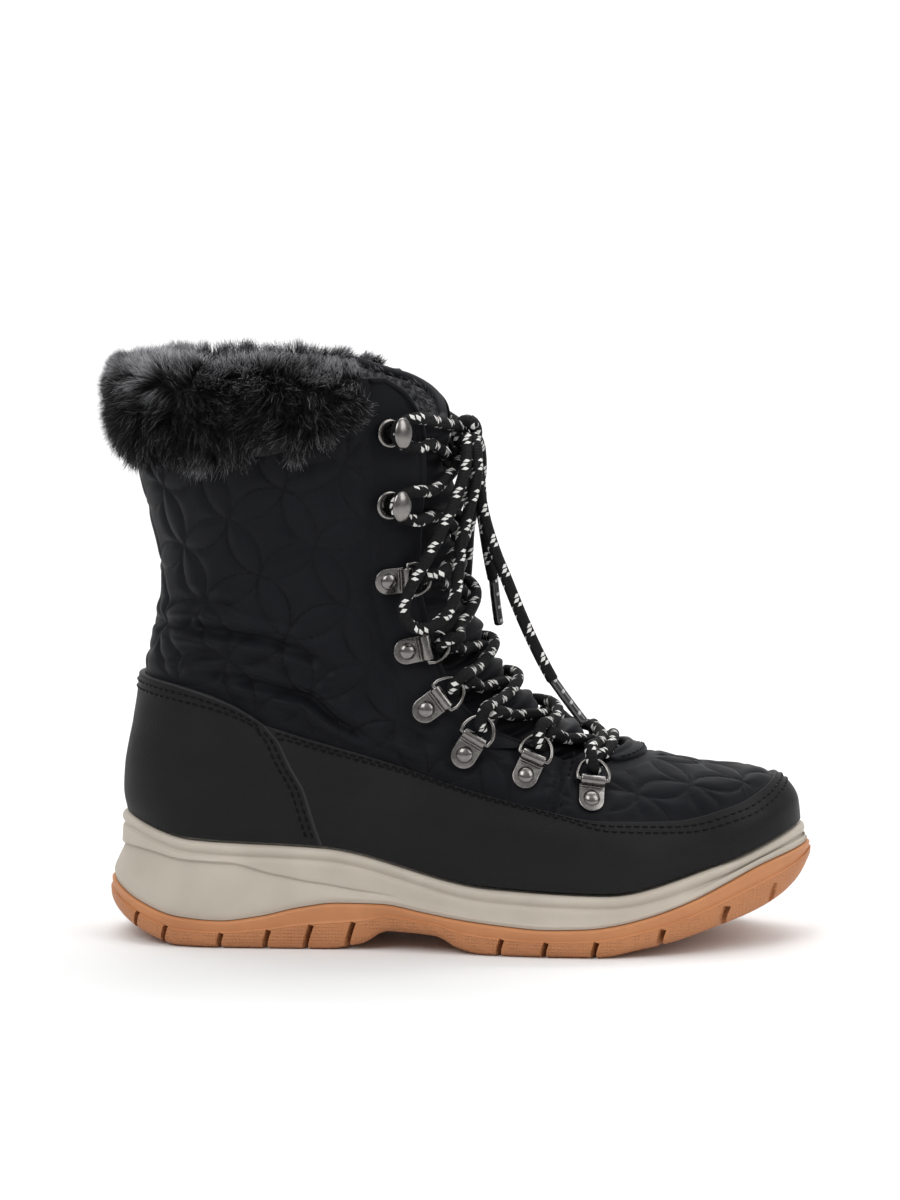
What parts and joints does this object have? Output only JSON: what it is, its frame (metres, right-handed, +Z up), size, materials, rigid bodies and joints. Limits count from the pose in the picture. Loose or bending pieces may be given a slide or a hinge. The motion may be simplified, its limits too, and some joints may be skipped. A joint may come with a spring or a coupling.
{
  "type": "winter boot",
  "caption": "Lace-up winter boot for the right foot: quilted shaft, fur cuff, leather-look rand, foam midsole and lugged gum outsole.",
  "frame": {"origin": "middle of the heel's tread, on the floor", "axes": "+X to the toe, +Z up, -Y to the outer side of the foot"},
  "size_m": [0.2754, 0.1162, 0.2297],
  "materials": {
    "gum_rubber": "matt gum rubber with stippled lugs",
    "midsole_foam": "matt moulded foam",
    "pile_lining": "short grey pile",
    "quilted_nylon": "black quilted nylon with a soft sheen",
    "coated_leather": "matt black coated leather",
    "fur": "deep charcoal pile with paler tips",
    "dark_nickel": "aged dark nickel",
    "lace_braid": "black round braid with white flecks",
    "aglet_plastic": "clear film over the lace's end"
  },
  "bodies": {
    "root": {"outsole": "gum_rubber", "midsole": "midsole_foam", "insole": "pile_lining", "upper": "quilted_nylon", "tongue": "quilted_nylon", "rand": "coated_leather", "heel_counter": "coated_leather", "eyestay_lateral": "coated_leather", "eyestay_medial": "coated_leather", "throat_overlay": "coated_leather", "fur_cuff": "fur", "ring_plate_lateral_1": "dark_nickel", "ring_plate_lateral_2": "dark_nickel", "ring_plate_lateral_3": "dark_nickel", "ring_plate_lateral_4": "dark_nickel", "ring_plate_lateral_5": "dark_nickel", "ring_plate_lateral_6": "dark_nickel", "ring_plate_medial_1": "dark_nickel", "ring_plate_medial_2": "dark_nickel", "ring_plate_medial_3": "dark_nickel", "ring_plate_medial_4": "dark_nickel", "ring_plate_medial_5": "dark_nickel", "ring_plate_medial_6": "dark_nickel", "ring_wire_lateral_1": "dark_nickel", "ring_wire_lateral_2": "dark_nickel", "ring_wire_lateral_3": "dark_nickel", "ring_wire_lateral_4": "dark_nickel", "ring_wire_lateral_5": "dark_nickel", "ring_wire_lateral_6": "dark_nickel", "ring_wire_medial_1": "dark_nickel", "ring_wire_medial_2": "dark_nickel", "ring_wire_medial_3": "dark_nickel", "ring_wire_medial_4": "dark_nickel", "ring_wire_medial_5": "dark_nickel", "ring_wire_medial_6": "dark_nickel", "lace_hook_lateral_1": "dark_nickel", "lace_hook_lateral_2": "dark_nickel", "lace_hook_medial_1": "dark_nickel", "lace_hook_medial_2": "dark_nickel", "lace_bar": "lace_braid", "lace_cross_1": "lace_braid", "lace_cross_2": "lace_braid", "lace_cross_3": "lace_braid", "lace_cross_4": "lace_braid", "lace_cross_5": "lace_braid", "lace_cross_6": "lace_braid", "lace_cross_7": "lace_braid", "lace_top_lateral": "lace_braid", "lace_top_medial": "lace_braid", "lace_knot": "lace_braid", "lace_loop_lateral": "lace_braid", "lace_loop_medial": "lace_braid", "lace_end_long": "lace_braid", "lace_end_short": "lace_braid", "lace_tip_long": "aglet_plastic", "lace_tip_short": "aglet_plastic"}
  },
  "joints": []
}
